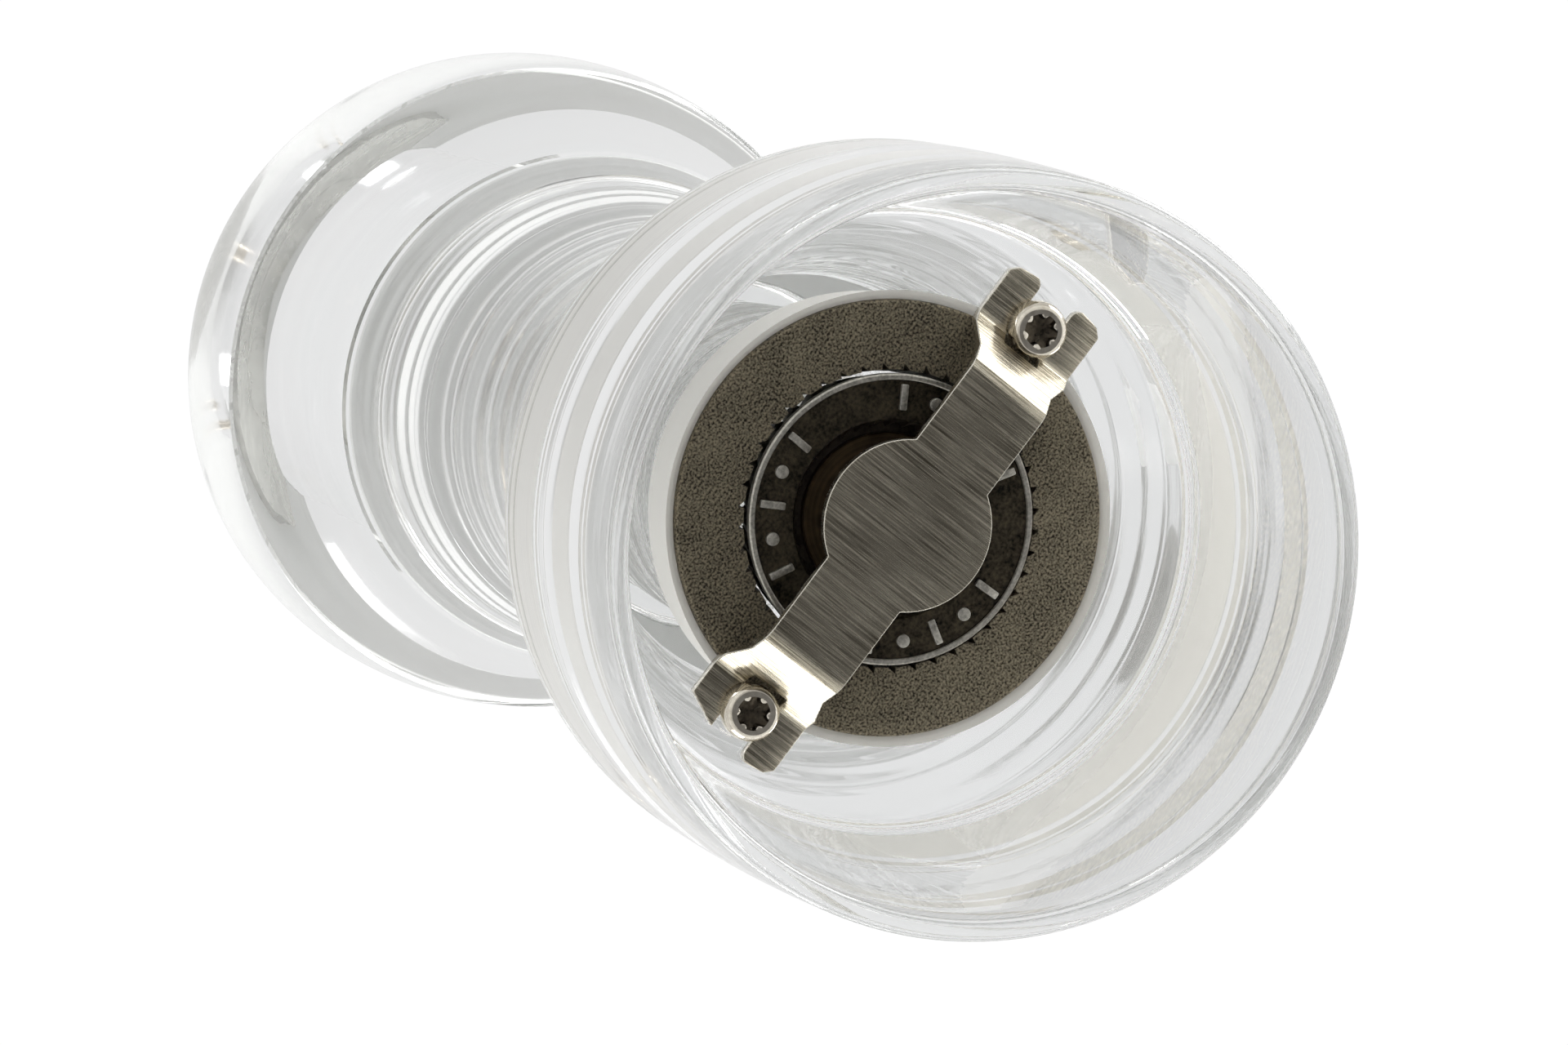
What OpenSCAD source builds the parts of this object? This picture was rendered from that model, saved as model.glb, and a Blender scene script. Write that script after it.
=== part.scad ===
// Pepper mill with a clear turned body: the head turns a square shaft and a
// conical burr, and the knob on top lifts the burr to set the grind.
// Millimetres. Z runs up the mill from the rim of the foot, X runs along the
// retaining bracket, and the origin is the centre of the rim's resting plane.

/* [Body] */
// Height of the joint between body and head above the foot
body_h = 121; // [112:0.5:150]
// Outer diameter at the narrowest part of the waist
waist_d = 32; // [27:0.5:40]
// Wall of the waist round the pepper chamber
waist_wall = 3.4; // [2.5:0.1:4]
// Height of the narrowest part of the waist
waist_z = 82; // [70:0.5:95]
// Height of the turned edge where the foot ends
foot_h = 33.5; // [32:0.5:42]
// How far that turned edge stands in from the foot
foot_step = 2.1; // [1:0.1:3]
// How much the foot bulges outwards at mid height
foot_bulge = 0.25; // [0:0.05:0.6]
// Radius of the rounded foot rim
rim_round = 0.55; // [0.4:0.05:1]
// Depth of the recess under the burrs
recess_depth = 27; // [22:0.5:30]
// How far the recess wall flares from floor to rim
recess_flare = 3.1; // [1:0.1:4]
// Width of the flat rim between recess and outside
rim_w = 1.9; // [1.8:0.1:3]
// Free floor outside the bracket ends
floor_margin = 2; // [1:0.1:4]
// Width of the machined chamfer round the burr seat
seat_chamfer = 0.7; // [0.3:0.1:0.9]

/* [Neck] */
// Height of the spigot that guides the head
spigot_h = 6; // [4:0.5:9]
// Wall of the spigot
spigot_wall = 2; // [1.5:0.1:2.5]
// Thickness of the slip ring between body and head
slip_t = 0.8; // [0.5:0.1:1.5]
// Radial clearance of the spigot in the head
spigot_play = 0.1; // [0.06:0.01:0.3]

/* [Head] */
// Largest diameter of the head
head_d = 55; // [46:0.5:66]
// Height of the head above the joint
head_h = 49.2; // [44:0.2:60]
// Height of the crown from the widest circle to the top
crown_h = 20; // [15:0.5:24]
// Height of the lower bulge under the widest circle
bulge_h = 10; // [8:0.5:14]
// How far the cove meets the bulge inside the widest circle
head_step = 0.9; // [0.5:0.1:2]
// Depth of the socket above the spigot's top
socket_room = 2; // [2:0.1:4]

/* [Burrs] */
// Outer diameter of the burr ring
stator_d = 32; // [28:0.2:40]
// Height of the burr ring
stator_h = 12; // [10:0.5:15]
// Radius of the ring's bore at its lower face
mesh_r = 10.9; // [9.1:0.1:12.5]
// Radial gap between the ring's teeth and the burr's rim
burr_gap = 0.25; // [0.2:0.05:0.5]
// How far the burr stands out of the ring
rotor_proud = 0.7; // [0.3:0.1:1]
// Number of fine teeth in the ring
stator_teeth = 44; // [36:1:48]
// Depth of the fine teeth
tooth_depth = 0.48; // [0.3:0.02:0.5]
// Number of fine teeth on the burr
rotor_teeth = 36; // [30:1:40]
// Number of coarse feed grooves on the burr
feed_grooves = 7; // [5:1:9]
// Height of the fine zone of both burrs
fine_h = 5; // [4:0.5:6]
// Inward lean of the fine zone, per millimetre of height
fine_lean = 0.1; // [0.06:0.01:0.15]
// Height of the rotating burr
rotor_h = 13.7; // [12:0.1:17]
// Depth of the recess in the burr's lower face
rotor_recess = 2.5; // [2:0.1:3]
// Width of the flat annulus round that recess
rotor_band = 3.4; // [3:0.1:4]

/* [Shaft] */
// Side of the square shaft
shaft_side = 5; // [4:0.1:6]
// Thread diameter at the top of the shaft
thread_d = 4; // [3:0.5:5]
// Clearance on each side of the shaft in its square holes
square_play = 0.08; // [0.05:0.01:0.15]
// Radial running clearance of round fits
run_play = 0.06; // [0.02:0.01:0.1]
// How far the shaft's end stands below the burr's recess floor
shaft_tail = 3.6; // [3:0.1:4]

/* [Spring and guide] */
// Wire diameter of the spring
wire_d = 0.9; // [0.6:0.05:1.1]
// Fitted length of the spring
spring_h = 8.3; // [7:0.1:12]
// Working turns of the spring
spring_turns = 4; // [3:0.5:6]
// Thickness of the spring seats
seat_t = 0.6; // [0.4:0.1:1]
// Thickness of the guide's rim
guide_rim_t = 1.5; // [1:0.1:2.5]
// Height of the guide's hub
hub_h = 3.5; // [3:0.1:5]
// Width of the guide's legs
leg_w = 2.6; // [2:0.1:3]

/* [Bracket] */
// Thickness of the bracket strip
strip_t = 0.9; // [0.7:0.05:1.1]
// Diameter of the centre disc
disc_d = 12.6; // [10:0.1:14]
// Width of the arms
arm_w = 6.8; // [5:0.1:7.2]
// Width of the forked ends
fork_w = 8.5; // [7.6:0.1:9.5]
// Width of the open slots
slot_w = 3.1; // [2.6:0.1:3.6]
// How far the disc is joggled away from the floor
joggle = 4.5; // [4:0.1:6]
// Length of the sloping part of the joggle
joggle_run = 3.5; // [3:0.1:5]
// Middle radius of the bends
bend_r = 1.2; // [0.8:0.05:1.4]
// Screw centres outside the burr ring
screw_out = 1.4; // [1.3:0.05:2.5]
// Length of the forks beyond the screw centres
fork_reach = 3.2; // [2.6:0.1:3.6]
// Radius of the forks' corners beside the slots
ear_round = 0.8; // [0.3:0.1:1]

/* [Screws] */
// Thread diameter of the bracket screws
screw_d = 2.2; // [1.6:0.1:2.4]
// Head diameter of the screws
screw_head_d = 4.3; // [3.4:0.1:4.4]
// Head height of the screws
screw_head_h = 1.6; // [1.2:0.1:2]
// Length of the bracket screws under the head
screw_l = 9; // [7:0.5:12]
// Length of the drive plate screws under the head
plate_screw_l = 8; // [6:0.5:12]
// Clearance of the screws in their holes
thread_play = 0.03; // [0.01:0.01:0.05]

/* [Drive plate] */
// Diameter of the drive plate
plate_d = 21; // [17:0.5:22.5]
// Thickness of the drive plate
plate_t = 1.4; // [1:0.1:2]

/* [Knob] */
// Diameter of the knob
knob_d = 18; // [15:0.5:24]
// Height of the knob
knob_h = 11.6; // [10:0.1:16]
// Number of flutes round the knob
flutes = 24; // [16:1:32]
// Thickness of the washer under the knob
washer_t = 0.6; // [0.4:0.1:1]
// Thickness of the bush's flange
flange_t = 0.8; // [0.5:0.1:1.2]
// Section diameter of the rubber ring in the knob
ring_section = 1.4; // [1:0.1:1.8]

/* [Hidden] */
$fn = 96;
eps = 0.01;

// Heights of the burr set, from the floor of the recess upwards
floor_z = recess_depth;
stator_top = floor_z + stator_h;
shoulder_z = stator_top + guide_rim_t;
rotor_z = floor_z - rotor_proud;
rotor_top = rotor_z + rotor_h;
spring_z = rotor_top + seat_t;
hub_z = spring_z + spring_h + seat_t;
hub_top = hub_z + hub_h;
recess_top = rotor_z + rotor_recess;

// Radii of the burr set
seat_r = stator_d / 2;
rotor_rim_r = mesh_r - burr_gap;
shaft_corner_r = shaft_side / sqrt(2);
guide_bore_r = shaft_corner_r + run_play;
seat_bore_r = shaft_corner_r + 2 * run_play;
coil_r = seat_bore_r + 0.3 + wire_d / 2;
spring_seat_r = coil_r + wire_d / 2 + 0.5;
hub_r = max(guide_bore_r + 1.8, spring_seat_r);
rotor_top_r = spring_seat_r + 0.1;

// Bracket and foot, each sized to clear what lies inside it
screw_r = seat_r + screw_out;
bracket_r = screw_r + fork_reach;
floor_r = bracket_r + floor_margin;
recess_r = floor_r + recess_flare;
foot_r = recess_r + rim_w;
rim_flat = 0.5;
rim_fillet = min(rim_round, (rim_w - foot_bulge - rim_flat) / 2);
foot_edge_r = foot_r - foot_step;
fork_z = floor_z - strip_t / 2;
disc_z = fork_z - joggle;
joggle_out = seat_r - 0.3;
joggle_in = joggle_out - joggle_run;
head_room = 0.15;
slot_end = screw_r - screw_head_d / 2 - head_room;

// Waist, neck and head
waist_r = waist_d / 2;
chamber_r = waist_r - waist_wall;
spigot_r = chamber_r + spigot_wall;
socket_r = spigot_r + spigot_play;
head_z = body_h + slip_t;
head_top = body_h + head_h;
head_r = head_d / 2;
widest_z = head_top - crown_h;
head_edge_z = widest_z - bulge_h;
head_edge_r = head_r - head_step;
spigot_top = body_h + spigot_h;
socket_top = spigot_top + socket_room;
plate_z = socket_top - plate_t;
plate_screw_r = (plate_d / 2 + shaft_corner_r) / 2 + 0.6;
shaft_hole_r = shaft_corner_r + 0.6;

// Top of the shaft and the knob on it
bush_bore_r = thread_d / 2 + run_play;
bush_r = bush_bore_r + 1;
bush_l = 6;
flange_r = bush_r + 2;
knob_z = head_top + flange_t + washer_t;
square_top = head_top - bush_l - 3;
insert_r = bush_bore_r + 1.3;
insert_l = 7;
thread_top = knob_z + knob_h - 3;
seal_r = insert_r + ring_section + 0.6;
seal_gap = 0.1;

// Radius of the turned cove of waist and head at a height
function cove(z) = z < waist_z
    ? waist_r + (foot_edge_r - waist_r) * pow((waist_z - z) / (waist_z - foot_h), 2)
    : waist_r + (head_edge_r - waist_r) * pow((z - waist_z) / (head_edge_z - waist_z), 2);

// Points of a run of n steps of a profile function between two heights
function cove_points(z0, z1, n) = [for (i = [0:n]) let (z = z0 + (z1 - z0) * i / n) [cove(z), z]];

// Points on an arc, angles in degrees
function arc_points(c, r, a0, a1, n) =
    [for (i = [0:n]) let (a = a0 + (a1 - a0) * i / n) c + r * [cos(a), sin(a)]];

// Radius of the foot's slightly bulged outside
function foot_out(z) = foot_r - foot_bulge + foot_bulge * sin(180 * z / foot_h);

// Radius of the crown above the widest circle
function crown(t) = head_r * pow(1 - pow(t, 3), 1 / 3);

module turned(points) {
    rotate_extrude() polygon(points);
}

module ring(r_in, r_out, z, h) {
    translate([0, 0, z]) difference() {
        cylinder(r = r_out, h = h);
        translate([0, 0, -eps]) cylinder(r = r_in, h = h + 2 * eps);
    }
}

// ---- Clear body: foot, waist, pepper chamber and spigot ----

groove_w = 0.5;
groove_depth = 0.25;

module foot_grooves() {
    for (z = [foot_h - 2.6, foot_h - 4.4])
        ring(foot_out(z) - groove_depth, foot_r + 2, z, groove_w);
}

module mill_body() color("aliceblue", 0.35) {
    outside = concat(
        arc_points([recess_r + rim_fillet, rim_fillet], rim_fillet, 180, 270, 4),
        arc_points([foot_out(0) - rim_fillet, rim_fillet], rim_fillet, -90, 0, 4),
        [for (i = [1:8]) let (z = (foot_h - 1) * i / 8) if (z > rim_fillet) [foot_out(z), z]],
        [[foot_edge_r + 0.6, foot_h - 0.4]],
        cove_points(foot_h, body_h, 26));
    inside = [
        [spigot_r, body_h], [spigot_r, spigot_top - 0.5], [spigot_r - 0.5, spigot_top],
        [chamber_r, spigot_top], [chamber_r, shoulder_z], [seat_r, shoulder_z],
        [seat_r, floor_z + seat_chamfer], [seat_r + seat_chamfer, floor_z],
        [floor_r - 1, floor_z], [floor_r - 0.3, floor_z - 0.3], [floor_r, floor_z - 1]];
    difference() {
        turned(concat(outside, inside));
        foot_grooves();
        screw_holes();
    }
}

module at_screws() {
    for (side = [-1, 1]) translate([side * screw_r, 0, 0]) children();
}

module screw_holes() {
    at_screws() translate([0, 0, floor_z - 1])
        cylinder(r = screw_d / 2 + thread_play, h = screw_l - strip_t + 2, $fn = 48);
}

// ---- Burr ring, pressed into the foot, with saw teeth round its bore ----

lean = atan(fine_lean);

// One tapering saw-tooth cutter along a leaning wall, lower end at height z
module tooth_cutter(r, depth, width, z, h, tilt, skew = 0) {
    translate([r, 0, z]) rotate([skew, -tilt, 0])
        linear_extrude(h) polygon([[-0.5, 0], [depth, 0], [-0.5, width]]);
}

module stator_ring() color("dimgray") {
    fine_top_r = mesh_r - fine_lean * fine_h;
    tooth_w = 0.75 * 2 * PI * mesh_r / stator_teeth;
    difference() {
        turned([
            [mesh_r, floor_z], [seat_r - 0.3, floor_z], [seat_r, floor_z + 0.3],
            [seat_r, stator_top - 0.3], [seat_r - 0.3, stator_top],
            [fine_top_r + 1.2, stator_top], [fine_top_r, stator_top - 2],
            [fine_top_r, floor_z + fine_h]]);
        for (i = [0:stator_teeth - 1]) rotate([0, 0, 360 * i / stator_teeth])
            tooth_cutter(mesh_r + 0.1 * fine_lean, tooth_depth, tooth_w,
                         floor_z - 0.1, fine_h + 0.6, lean);
    }
}

// ---- Rotating burr: smooth rim, fine teeth, coarse feed grooves, raised marks ----

rotor_recess_r = rotor_rim_r - rotor_band;
mark_h = 0.3;
mark_r = rotor_rim_r - rotor_band / 2;
rim_bead_w = 0.45;
rim_h = 0.8;

// Raised bars and studs that show which way up the burr goes
module rotor_marks() {
    for (group = [0:2], i = [-2:2]) rotate([0, 0, 120 * group + 16 * i]) translate([mark_r, 0, 0]) {
        if (i % 2 == 0)
            translate([-0.95, -0.28, rotor_z - mark_h]) cube([1.9, 0.56, mark_h + 0.4]);
        else
            translate([0, 0, rotor_z - mark_h]) cylinder(r = 0.5, h = mark_h + 0.4, $fn = 32);
    }
}

module rotor_burr() color("gray") {
    face_z = rotor_z + 0.3;
    fine_r = rotor_rim_r - 0.1;
    fine_top = floor_z + fine_h - rotor_proud;
    fine_top_r = fine_r - fine_lean * (fine_top - rotor_z - rim_h);
    cone_h = rotor_top - 1 - fine_top;
    cone_tilt = atan((fine_top_r - rotor_top_r) / cone_h);
    groove_l = cone_h / cos(cone_tilt) + 1;
    difference() {
        union() {
            turned([
                [rotor_recess_r, face_z], [rotor_rim_r - rim_bead_w, face_z],
                [rotor_rim_r - rim_bead_w, rotor_z], [rotor_rim_r - 0.1, rotor_z],
                [rotor_rim_r, rotor_z + 0.1], [rotor_rim_r, rotor_z + rim_h],
                [fine_r, rotor_z + rim_h], [fine_top_r, fine_top], [rotor_top_r, rotor_top - 1],
                [rotor_top_r, rotor_top], [0, rotor_top], [0, recess_top],
                [rotor_recess_r - 0.3, recess_top]]);
            translate([0, 0, 0.3]) rotor_marks();
        }
        for (i = [0:rotor_teeth - 1]) rotate([0, 0, 360 * i / rotor_teeth])
            mirror([1, 0, 0]) rotor_tooth(fine_r, fine_top);
        for (i = [0:feed_grooves - 1]) rotate([0, 0, 360 * i / feed_grooves])
            translate([fine_top_r + 0.3, 0, fine_top - 0.5]) rotate([18, -cone_tilt, 0])
                linear_extrude(groove_l) polygon([[-1.6, 0], [0.8, -1.2], [0.8, 1.4]]);
        shaft_square(square_play, rotor_z - 2, rotor_h + 4);
    }
}

module rotor_tooth(r, top) {
    translate([-r, 0, rotor_z + rim_h]) rotate([8, lean, 0])
        linear_extrude(top - rotor_z - rim_h - 0.3) polygon([[0.45, 0], [-0.6, 0], [-0.6, 1.1]]);
}

module shaft_square(play, z, h) {
    side = shaft_side + 2 * play;
    translate([-side / 2, -side / 2, z]) cube([side, side, h]);
}

// ---- Shaft, its clip and the washer under the burr ----

shaft_z = recess_top - shaft_tail;
tail_r = shaft_side / 2 - 0.1;
clip_t = 0.7;
burr_washer_t = 0.9;
clip_z = recess_top - burr_washer_t - clip_t;
clip_groove_r = tail_r - 0.7;
joined = 0.5;

module shaft() color("silver") {
    shaft_square(0, recess_top, square_top - recess_top);
    turned([
        [0, shaft_z], [tail_r - 0.4, shaft_z], [tail_r, shaft_z + 0.4], [tail_r, clip_z],
        [clip_groove_r, clip_z], [clip_groove_r, clip_z + clip_t], [tail_r, clip_z + clip_t],
        [tail_r, recess_top + joined], [0, recess_top + joined]]);
    turned([
        [0, square_top - joined], [thread_d / 2, square_top - joined], [thread_d / 2, thread_top - 0.5],
        [thread_d / 2 - 0.5, thread_top], [0, thread_top]]);
}

module rotor_washer() color("goldenrod") {
    ring(tail_r + run_play, rotor_recess_r - 1, recess_top - burr_washer_t, burr_washer_t);
}

// Snap ring, open on one side so that it springs into the shaft's groove
module shaft_clip() color("dimgray") {
    difference() {
        ring(clip_groove_r + run_play, tail_r + 1.6, clip_z, clip_t);
        translate([0, -clip_groove_r * 0.8, clip_z - 1]) cube([tail_r + 4, clip_groove_r * 1.6, clip_t + 2]);
    }
}

// ---- Guide above the burrs: rim, four legs and a hub ----

legs = 4;
leg_t = 2;
leg_gap = 0.2;
arm_t = 2.2;

module shaft_guide() color("whitesmoke") {
    leg_out = chamber_r - leg_gap;
    difference() {
        union() {
            ring(leg_out - leg_t, seat_r, stator_top, guide_rim_t);
            translate([0, 0, hub_z]) cylinder(r = hub_r, h = hub_h);
            intersection() {
                translate([0, 0, stator_top]) cylinder(r = leg_out, h = hub_top - stator_top);
                for (i = [0:legs - 1]) rotate([0, 0, 45 + 360 * i / legs]) union() {
                    translate([leg_out - leg_t, -leg_w / 2, stator_top])
                        cube([leg_t + 1, leg_w, hub_top - stator_top]);
                    translate([guide_bore_r + 0.5, -leg_w / 2, hub_top - arm_t])
                        cube([leg_out, leg_w, arm_t]);
                }
            }
        }
        translate([0, 0, hub_z - 1]) cylinder(r = guide_bore_r, h = hub_h + 2);
    }
}

// ---- Spring: one wire swept along a helix, between two seats ----

spring_sides = 8;
spring_steps = 24;
spring_start = 0.1;
closed_turns = 0.65;

// Height of the wire's middle along the helix, flat over the closed turns at both ends
function coil_height(turn) =
    (spring_h - wire_d) * min(1, max(0, (turn - closed_turns) / spring_turns)) + wire_d / 2;

function coil_ring(turn) = [for (k = [0:spring_sides - 1])
    let (a = 360 * (turn + spring_start), b = 360 * k / spring_sides,
         r = coil_r + wire_d / 2 * cos(b))
    [r * cos(a), r * sin(a), spring_z + coil_height(turn) + wire_d / 2 * sin(b)]];

module spring() color("lightgray") {
    rings = floor((spring_turns + 2 * closed_turns) * spring_steps);
    n = spring_sides;
    points = [for (i = [0:rings]) each coil_ring(i / spring_steps)];
    sides = [for (i = [0:rings - 1], k = [0:n - 1])
        [i * n + k, i * n + (k + 1) % n, (i + 1) * n + (k + 1) % n, (i + 1) * n + k]];
    ends = [[for (k = [n - 1:-1:0]) k], [for (k = [0:n - 1]) rings * n + k]];
    polyhedron(points, concat(sides, ends), convexity = 10);
}

module spring_seat_lower() color("silver") {
    ring(seat_bore_r, spring_seat_r, rotor_top, seat_t);
}

module spring_seat_upper() color("silver") {
    ring(seat_bore_r, spring_seat_r, hub_z - seat_t, seat_t);
}

// ---- Retaining bracket: joggled strip with a disc and two forked ends ----

bend_angle = atan(joggle / joggle_run);
bend_run = bend_r * tan(bend_angle / 2);
ear_clip = 1.9;
ear_end = sqrt(pow(bracket_r, 2) - pow(slot_w / 2, 2));

// One long edge of the strip's side view, at an offset above its middle
function strip_edge(o) = concat(
    [[0, disc_z + o]],
    arc_points([joggle_in - bend_run, disc_z + bend_r], bend_r - o, -90, bend_angle - 90, 5),
    arc_points([joggle_out + bend_run, fork_z - bend_r], bend_r + o, 90 + bend_angle, 90, 5),
    [[bracket_r + 1, fork_z + o]]);

// What rounding takes off a square corner that points to +X and +Y at the origin
module corner_waste(r) {
    difference() {
        translate([-r, -r]) square(2 * r);
        translate([-r, -r]) circle(r);
    }
}

function reversed(list) = [for (i = [len(list) - 1:-1:0]) list[i]];

module bracket_outline() {
    shoulder_in = joggle_in + 0.45 * joggle_run;
    shoulder_out = joggle_in + 0.85 * joggle_run;
    difference() {
        union() {
            circle(d = disc_d);
            intersection() {
                circle(r = bracket_r);
                for (side = [-1, 1]) scale([side, 1]) polygon([
                    [0, -arm_w / 2], [shoulder_in, -arm_w / 2], [shoulder_out, -fork_w / 2],
                    [bracket_r - 0.9, -fork_w / 2], [bracket_r + 1, -fork_w / 2 + 1.9],
                    [bracket_r + 1, fork_w / 2 - 1.9], [bracket_r - 0.9, fork_w / 2],
                    [shoulder_out, fork_w / 2], [shoulder_in, arm_w / 2], [0, arm_w / 2]]);
            }
        }
        for (side = [-1, 1]) scale([side, 1])
            translate([slot_end, -slot_w / 2]) square([bracket_r, slot_w]);
        polygon([[-bracket_r - 1, -fork_w / 2 - 1], [-bracket_r + ear_clip, -fork_w / 2 - 1],
                 [-bracket_r + ear_clip, -fork_w / 2], [-bracket_r + 0.7, -slot_w / 2],
                 [-bracket_r - 1, -slot_w / 2]]);
        for (corner = [[0, -1], [0, 1], [180, -1]]) rotate(corner[0])
            translate([ear_end, corner[1] * slot_w / 2]) rotate(corner[1] > 0 ? -90 : 0)
                corner_waste(ear_round);
    }
}

module retaining_bracket() color("silver") {
    half = concat(strip_edge(-strip_t / 2), reversed(strip_edge(strip_t / 2)));
    intersection() {
        union() for (turn = [0, 180]) rotate([90, 0, turn])
            translate([0, 0, -disc_d]) linear_extrude(2 * disc_d) polygon(half);
        translate([0, 0, disc_z - strip_t])
            linear_extrude(joggle + 2 * strip_t) bracket_outline();
    }
}

// ---- Pan-head screws with a six-lobe recess ----

// Screw with its head hanging below height 0 and its shank above
module pan_screw(length) {
    head_r2 = screw_head_d / 2;
    core_r = 0.24 * screw_head_d;
    lobe_r = 0.11 * screw_head_d;
    difference() {
        union() {
            turned(concat(
                [[0, -screw_head_h]],
                arc_points([head_r2 - 0.9, -screw_head_h + 0.9], 0.9, -90, 0, 4),
                [[head_r2, -0.15], [head_r2 - 0.15, 0], [0, 0]]));
            turned([[0, 0], [screw_d / 2, 0], [screw_d / 2, length - screw_d / 2], [0.2, length], [0, length]]);
        }
        translate([0, 0, -screw_head_h - eps]) {
            cylinder(r = core_r, h = 1, $fn = 48);
            for (i = [0:5]) rotate([0, 0, 60 * i]) translate([core_r, 0, 0])
                cylinder(r = lobe_r, h = 0.9, $fn = 24);
        }
    }
}

module bracket_screws() color("gainsboro") {
    at_screws() translate([0, 0, floor_z - strip_t]) pan_screw(screw_l);
}

// ---- Slip ring between body and head ----

module slip_ring() color("white") {
    ring(spigot_r + 0.2, cove(body_h) - 0.6, body_h, slip_t);
}

// ---- Clear head: cove, bulge and crown ----

module head() color("aliceblue", 0.35) {
    outside = concat(
        cove_points(head_z, head_edge_z, 7),
        [[head_edge_r + 0.25, head_edge_z + 0.1]],
        [for (i = [1:5]) let (t = 1 - i / 5) [head_r - (head_step - 0.25) * t * t, widest_z - bulge_h * t]],
        [for (i = [1:14]) let (t = sin(90 * i / 14)) if (crown(t) > flange_r + 2) [crown(t), widest_z + crown_h * t]],
        [[flange_r + 0.5, head_top]]);
    inside = [
        [bush_r, head_top], [bush_r, head_top - bush_l], [shaft_hole_r, head_top - bush_l],
        [shaft_hole_r, socket_top], [socket_r, socket_top], [socket_r, head_z]];
    difference() {
        turned(concat(outside, inside));
        at_plate_screws() translate([0, 0, socket_top - 1])
            cylinder(r = screw_d / 2 + thread_play, h = plate_screw_l - plate_t + 2, $fn = 48);
    }
}

module head_bush() color("silver") {
    turned([
        [bush_bore_r, head_top - bush_l], [bush_r, head_top - bush_l], [bush_r, head_top],
        [flange_r, head_top], [flange_r, head_top + flange_t - 0.2],
        [flange_r - 0.2, head_top + flange_t], [bush_bore_r, head_top + flange_t]]);
}

// ---- Drive plate: the square hole that turns the shaft ----

module at_plate_screws() {
    for (side = [-1, 1]) translate([0, side * plate_screw_r, 0]) children();
}

module drive_plate() color("silver") {
    difference() {
        translate([0, 0, plate_z]) cylinder(d = plate_d, h = plate_t);
        shaft_square(square_play, plate_z - 1, plate_t + 2);
        at_plate_screws() translate([0, 0, plate_z - 1])
            cylinder(r = screw_d / 2 + 0.1, h = plate_t + 2, $fn = 48);
    }
}

module drive_plate_screws() color("gainsboro") {
    at_plate_screws() translate([0, 0, plate_z]) pan_screw(plate_screw_l);
}

// ---- Knob with its threaded insert, rubber ring and washer ----

module knob_washer() color("white") {
    ring(bush_bore_r, knob_d / 2 - 0.8, head_top + flange_t, washer_t);
}

module knob_insert() color("gold") {
    ring(thread_d / 2 + 0.05, insert_r, knob_z + 0.2, insert_l);
}

module knob_o_ring() color("black") {
    translate([0, 0, knob_z + seal_gap + ring_section / 2]) rotate_extrude()
        translate([seal_r, 0]) circle(d = ring_section, $fn = 24);
}

module knob() color("silver") {
    r = knob_d / 2;
    rod_r = thread_d / 2 + 0.4;
    difference() {
        turned(concat(
            [[insert_r, knob_z + 0.1], [seal_r - ring_section * 0.55, knob_z + 0.1],
             [seal_r - ring_section * 0.55, knob_z + seal_gap + ring_section],
             [seal_r + ring_section * 0.55, knob_z + seal_gap + ring_section],
             [seal_r + ring_section * 0.55, knob_z + 0.1],
             [r - 1.6, knob_z + 0.1], [r - 1.2, knob_z + 0.5], [r - 1.2, knob_z + 2.2],
             [r, knob_z + 3.2], [r, knob_z + knob_h - 2]],
            arc_points([r - 2, knob_z + knob_h - 2], 2, 0, 70, 4),
            [[0, knob_z + knob_h], [0, thread_top + 1], [rod_r, thread_top + 1],
             [rod_r, knob_z + 0.2 + insert_l], [insert_r, knob_z + 0.2 + insert_l]]));
        for (i = [0:flutes - 1]) rotate([0, 0, 360 * i / flutes])
            translate([r + 0.55, 0, knob_z + 2.8]) cylinder(r = 0.8, h = knob_h - 5, $fn = 16);
    }
}

mill_body();
stator_ring();
rotor_burr();
rotor_washer();
shaft_clip();
shaft();
shaft_guide();
spring();
spring_seat_lower();
spring_seat_upper();
retaining_bracket();
bracket_screws();
slip_ring();
head();
head_bush();
drive_plate();
drive_plate_screws();
knob_washer();
knob_o_ring();
knob_insert();
knob();
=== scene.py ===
"""Looks of a pepper mill with a clear turned body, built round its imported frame.

Lengths are in millimetres until a mesh is made. Z runs up the mill from the rim of its foot,
and X runs along the retaining bracket.
"""

import logging
import math
from collections.abc import Callable, Sequence
from dataclasses import dataclass, field
from enum import Enum

import bmesh
import bpy
from mathutils import Matrix, Vector


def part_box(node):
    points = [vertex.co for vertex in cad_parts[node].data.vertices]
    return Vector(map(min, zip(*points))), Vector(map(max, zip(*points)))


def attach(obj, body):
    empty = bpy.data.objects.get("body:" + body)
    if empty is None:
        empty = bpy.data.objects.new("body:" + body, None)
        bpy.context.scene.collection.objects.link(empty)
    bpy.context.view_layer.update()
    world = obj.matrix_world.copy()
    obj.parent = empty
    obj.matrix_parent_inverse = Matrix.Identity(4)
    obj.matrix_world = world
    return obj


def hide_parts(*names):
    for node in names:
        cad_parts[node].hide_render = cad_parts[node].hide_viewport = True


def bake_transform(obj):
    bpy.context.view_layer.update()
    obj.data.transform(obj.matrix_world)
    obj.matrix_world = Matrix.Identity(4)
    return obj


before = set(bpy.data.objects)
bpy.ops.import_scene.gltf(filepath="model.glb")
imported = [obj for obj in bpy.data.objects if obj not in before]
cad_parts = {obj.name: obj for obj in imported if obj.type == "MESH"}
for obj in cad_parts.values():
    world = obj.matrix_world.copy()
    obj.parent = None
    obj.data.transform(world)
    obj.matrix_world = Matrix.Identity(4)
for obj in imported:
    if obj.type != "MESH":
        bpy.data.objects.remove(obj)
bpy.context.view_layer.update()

MM = 0.001
AXIS = (0.0, 0.0, 1.0)
ORIGIN = (0.0, 0.0, 0.0)
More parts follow.
